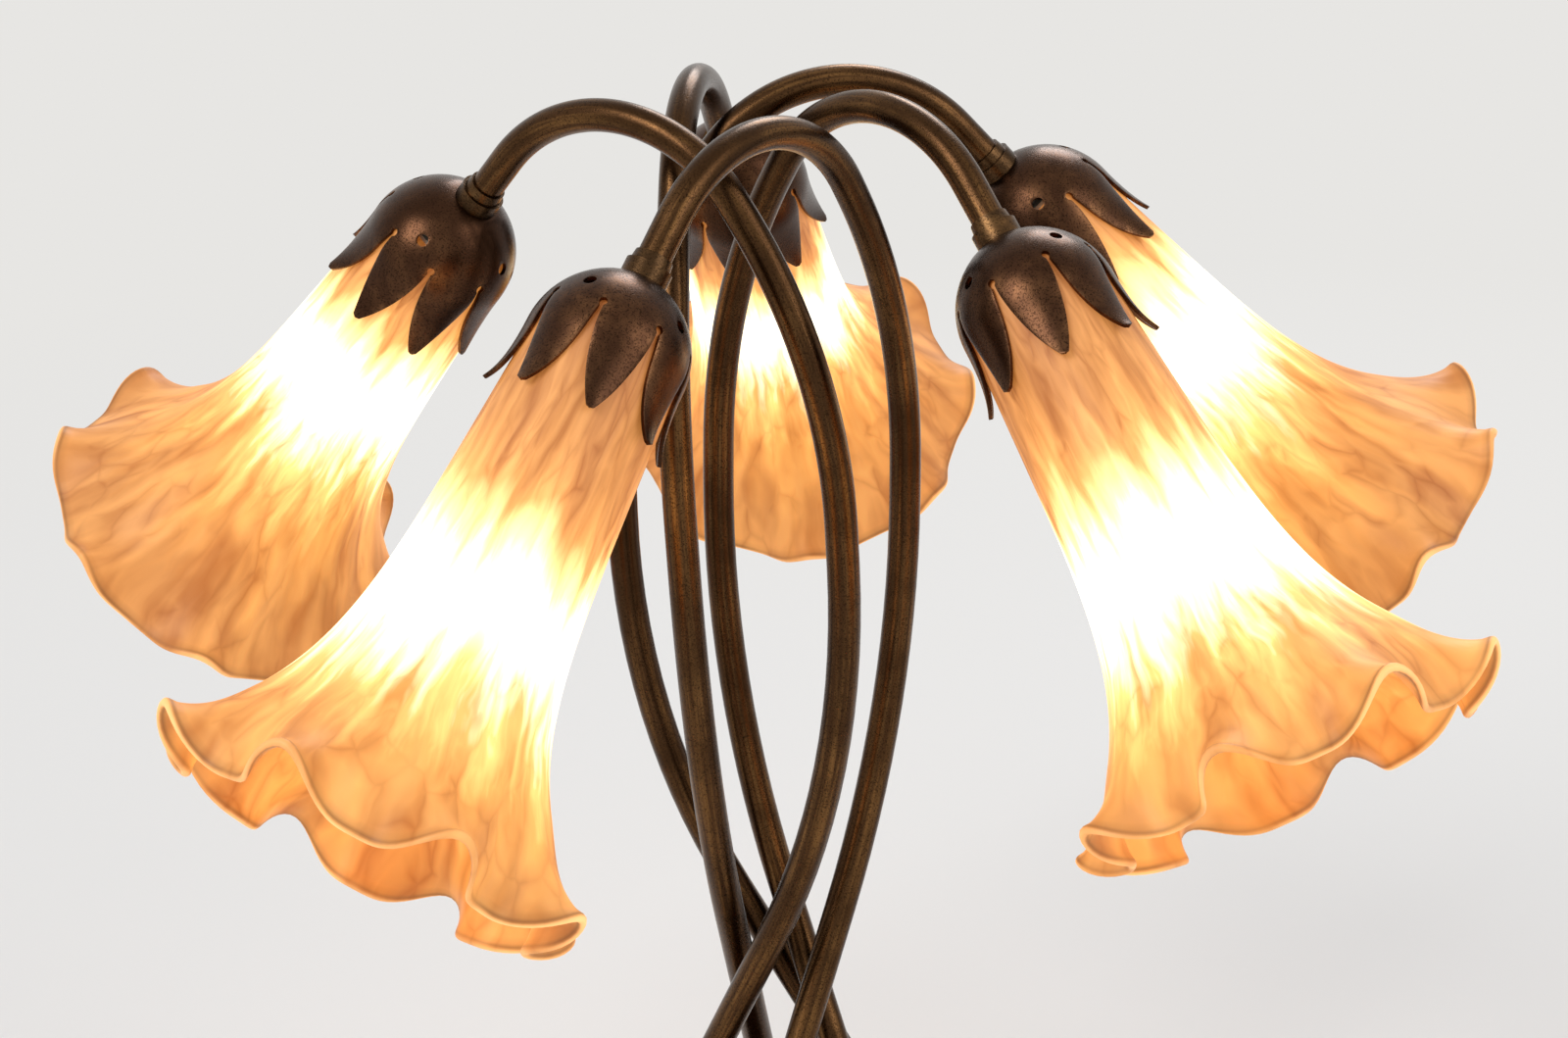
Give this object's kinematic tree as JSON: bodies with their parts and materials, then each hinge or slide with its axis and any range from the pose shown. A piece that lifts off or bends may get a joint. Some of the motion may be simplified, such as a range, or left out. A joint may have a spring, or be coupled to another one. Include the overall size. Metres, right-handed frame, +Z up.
{
  "type": "table lamp",
  "caption": "Table lamp of entwined bronze stems that arch over from a round base to leaf-shaped caps, each holding a ruffled amber glass bell shade with a candle bulb.",
  "frame": {"origin": "centre of the base's underside, on the axis that the stems are set around", "axes": "+Z up; -Y is the side the picture was taken from, +X to its right"},
  "size_m": [0.4495, 0.4428, 0.4723],
  "materials": {
    "tube_bronze": "antique bronze patina, dark brown with worn golden streaks along the tube",
    "cap_bronze": "reddish antique bronze, worn bright on the edges",
    "base_bronze": "cast and patinated dark bronze, satin",
    "cast_iron": "rough black casting",
    "steel_sheet": "plain zinc-plated sheet",
    "steel_bolt": "zinc plated",
    "plain_brass": "plain turned brass",
    "cream_moulding": "cream heat-resistant moulding",
    "black_bushing": "black moulding",
    "felt": "dark green felt",
    "amber_glass": "frosted amber and cream mottled glass with a thick rounded lip, lit from inside",
    "lit_bulb": "frosted candle bulb, lit"
  },
  "bodies": {
    "lamp": {"base_casting": "base_bronze", "base_weight": "cast_iron", "cover_plate": "steel_sheet", "felt_pad": "felt", "tie_bolt": "steel_bolt", "cap_nut": "base_bronze", "inlet_bushing": "black_bushing", "stem_collars": "cap_bronze", "stem_locknuts": "plain_brass", "stem_tube_1": "tube_bronze", "stem_tube_2": "tube_bronze", "stem_tube_3": "tube_bronze", "stem_tube_4": "tube_bronze", "stem_tube_5": "tube_bronze", "cap_collar_1": "cap_bronze", "cap_collar_2": "cap_bronze", "cap_collar_3": "cap_bronze", "cap_collar_4": "cap_bronze", "cap_collar_5": "cap_bronze", "leaf_cap_1": "cap_bronze", "leaf_cap_2": "cap_bronze", "leaf_cap_3": "cap_bronze", "leaf_cap_4": "cap_bronze", "leaf_cap_5": "cap_bronze", "cap_locknut_1": "plain_brass", "cap_locknut_2": "plain_brass", "cap_locknut_3": "plain_brass", "cap_locknut_4": "plain_brass", "cap_locknut_5": "plain_brass", "lampholder_1": "cream_moulding", "lampholder_2": "cream_moulding", "lampholder_3": "cream_moulding", "lampholder_4": "cream_moulding", "lampholder_5": "cream_moulding", "glass_shade_1": "amber_glass", "glass_shade_2": "amber_glass", "glass_shade_3": "amber_glass", "glass_shade_4": "amber_glass", "glass_shade_5": "amber_glass"},
    "ring_1": {"shade_ring_1": "cream_moulding"},
    "bulb_1": {"bulb_glass_1": "lit_bulb", "bulb_cap_1": "plain_brass"},
    "ring_2": {"shade_ring_2": "cream_moulding"},
    "bulb_2": {"bulb_glass_2": "lit_bulb", "bulb_cap_2": "plain_brass"},
    "ring_3": {"shade_ring_3": "cream_moulding"},
    "bulb_3": {"bulb_glass_3": "lit_bulb", "bulb_cap_3": "plain_brass"},
    "ring_4": {"shade_ring_4": "cream_moulding"},
    "bulb_4": {"bulb_glass_4": "lit_bulb", "bulb_cap_4": "plain_brass"},
    "ring_5": {"shade_ring_5": "cream_moulding"},
    "bulb_5": {"bulb_glass_5": "lit_bulb", "bulb_cap_5": "plain_brass"}
  },
  "joints": [
    {"name": "ring_screw_1", "type": "hinge", "parent": "lamp", "child": "ring_1", "pos_m": [-0.03884, -0.08629, 0.42373], "axis": [-0.4458, -0.498, -0.7438], "range_deg": [0, 1080]},
    {"name": "bulb_screw_1", "type": "hinge", "parent": "lamp", "child": "bulb_1", "pos_m": [-0.05668, -0.10621, 0.39398], "axis": [-0.4458, -0.498, -0.7438], "range_deg": [0, 1440]},
    {"name": "ring_screw_2", "type": "hinge", "parent": "lamp", "child": "ring_2", "pos_m": [0.07417, -0.05649, 0.42373], "axis": [0.4176, -0.5219, -0.7438], "range_deg": [0, 1080]},
    {"name": "bulb_screw_2", "type": "hinge", "parent": "lamp", "child": "bulb_2", "pos_m": [0.09087, -0.07737, 0.39398], "axis": [0.4176, -0.5219, -0.7438], "range_deg": [0, 1440]},
    {"name": "ring_screw_3", "type": "hinge", "parent": "lamp", "child": "ring_3", "pos_m": [0.08518, 0.04021, 0.42373], "axis": [0.6608, 0.1007, -0.7438], "range_deg": [0, 1080]},
    {"name": "bulb_screw_3", "type": "hinge", "parent": "lamp", "child": "bulb_3", "pos_m": [0.11161, 0.04423, 0.39398], "axis": [0.6608, 0.1007, -0.7438], "range_deg": [0, 1440]},
    {"name": "ring_screw_4", "type": "hinge", "parent": "lamp", "child": "ring_4", "pos_m": [-0.00618, 0.09341, 0.42373], "axis": [0.1314, 0.6553, -0.7438], "range_deg": [0, 1080]},
    {"name": "bulb_screw_4", "type": "hinge", "parent": "lamp", "child": "bulb_4", "pos_m": [-0.00092, 0.11962, 0.39398], "axis": [0.1314, 0.6553, -0.7438], "range_deg": [0, 1440]},
    {"name": "ring_screw_5", "type": "hinge", "parent": "lamp", "child": "ring_5", "pos_m": [-0.09203, 0.02427, 0.42373], "axis": [-0.5571, 0.3693, -0.7438], "range_deg": [0, 1080]},
    {"name": "bulb_screw_5", "type": "hinge", "parent": "lamp", "child": "bulb_5", "pos_m": [-0.11431, 0.03904, 0.39398], "axis": [-0.5571, 0.3693, -0.7438], "range_deg": [0, 1440]}
  ]
}
